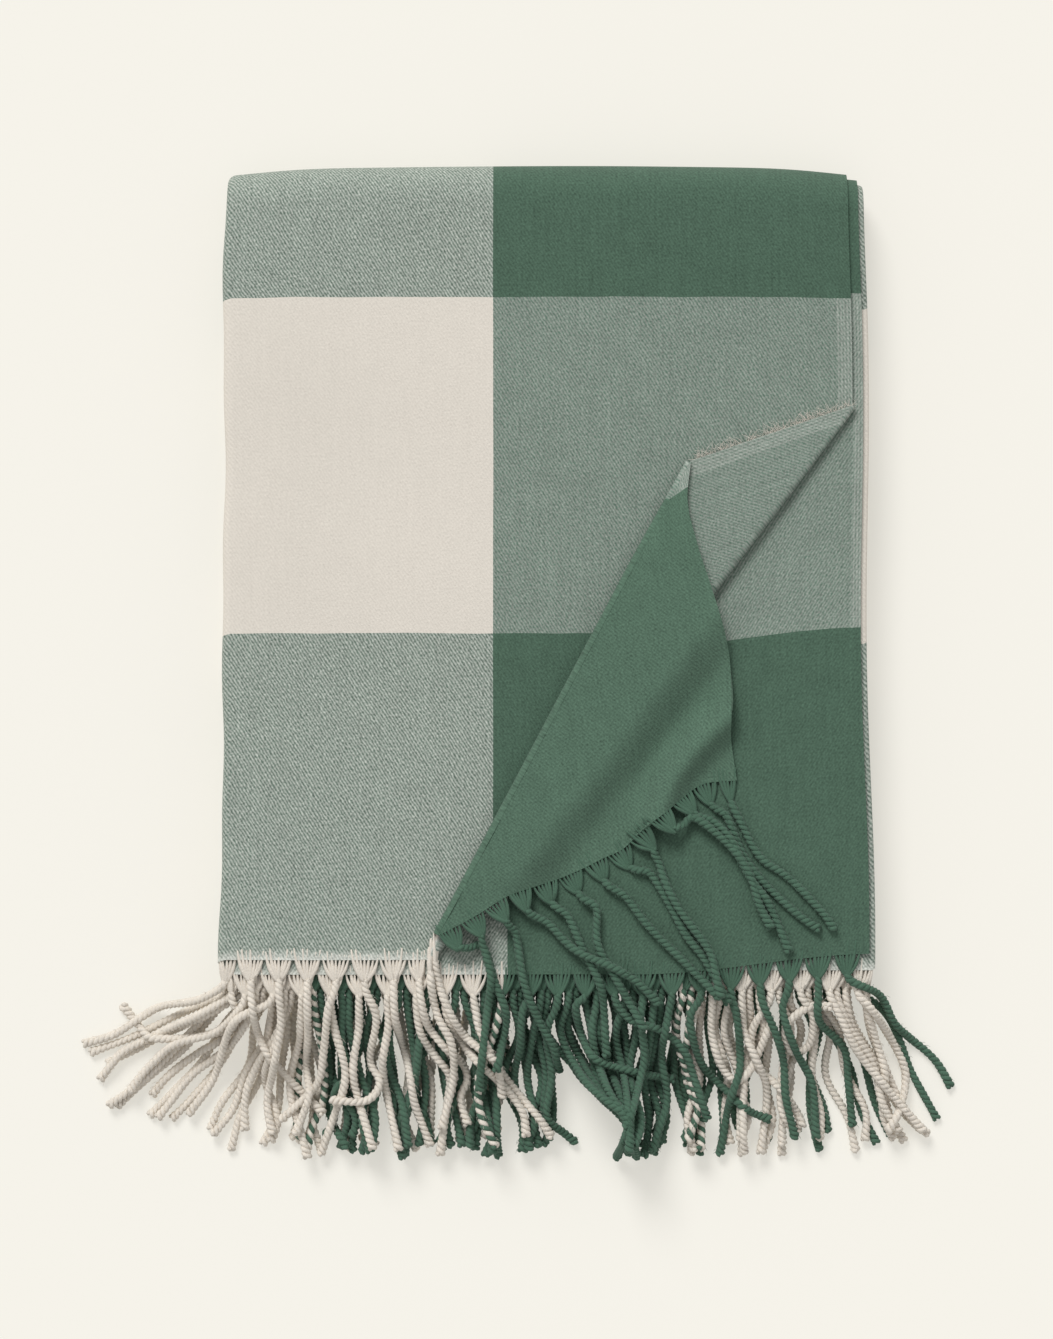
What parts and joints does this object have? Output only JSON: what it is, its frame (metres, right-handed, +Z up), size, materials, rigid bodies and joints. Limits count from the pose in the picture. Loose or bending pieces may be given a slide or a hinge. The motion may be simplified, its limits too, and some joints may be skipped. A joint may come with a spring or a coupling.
{
  "type": "folded throw blanket",
  "caption": "Fringed twill throw in cream, sage and green blocks, folded into a flat pack with one top corner turned back.",
  "frame": {"origin": "middle of the footprint, on the surface that the pack rests on", "axes": "+X right along the front edge, +Y from the fringed front edge to the folded back edge, +Z up"},
  "size_m": [0.4414, 0.5074, 0.0475],
  "materials": {
    "blanket_twill": "matte",
    "green_yarn": "matte",
    "cream_yarn": "matte"
  },
  "bodies": {
    "stack": {"corner_turned": "blanket_twill", "crease_lower": "blanket_twill", "fold_back_1": "blanket_twill", "fold_back_2": "blanket_twill", "fold_back_3": "blanket_twill", "fold_back_4": "blanket_twill", "fold_core_1": "blanket_twill", "fold_core_2": "blanket_twill", "fold_core_3": "blanket_twill", "fold_core_4": "blanket_twill", "fold_front_1": "blanket_twill", "fold_front_2": "blanket_twill", "fold_front_3": "blanket_twill", "fold_front_4": "blanket_twill", "fringe_face_1": "cream_yarn", "fringe_face_2": "cream_yarn", "fringe_face_3": "cream_yarn", "fringe_face_4": "green_yarn", "fringe_under_1": "green_yarn", "fringe_under_2": "cream_yarn", "fringe_under_3": "cream_yarn", "fringe_under_4": "green_yarn", "leaf_base_1": "blanket_twill", "leaf_base_2": "blanket_twill", "leaf_base_3": "blanket_twill", "leaf_base_4": "blanket_twill", "leaf_face_1": "blanket_twill", "leaf_face_2": "blanket_twill", "leaf_face_3": "blanket_twill", "leaf_face_4": "blanket_twill", "leaf_lower_1": "blanket_twill", "leaf_lower_2": "blanket_twill", "leaf_lower_3": "blanket_twill", "leaf_lower_4": "blanket_twill", "leaf_under_1": "blanket_twill", "leaf_under_2": "blanket_twill", "leaf_under_3": "blanket_twill", "leaf_under_4": "blanket_twill", "turn_inner_base": "blanket_twill", "turn_inner_face": "blanket_twill", "turn_inner_lower": "blanket_twill", "turn_inner_under": "blanket_twill", "turn_outer_base": "blanket_twill", "turn_outer_face": "blanket_twill", "turn_outer_lower": "blanket_twill", "turn_outer_under": "blanket_twill", "turn_right_base": "blanket_twill", "turn_right_face": "blanket_twill", "turn_right_lower": "blanket_twill", "turn_right_under": "blanket_twill"},
    "flap": {"corner_flap": "green_yarn", "fringe_flap": "green_yarn", "crease_hinge": "green_yarn"}
  },
  "joints": [
    {"name": "flap_turn", "type": "hinge", "parent": "stack", "child": "flap", "pos_m": [0.08662, 0.10329, 0.04415], "axis": [-0.4656, -0.885, 0], "range_deg": [0, 165], "deforming": ["crease_hinge"]}
  ]
}
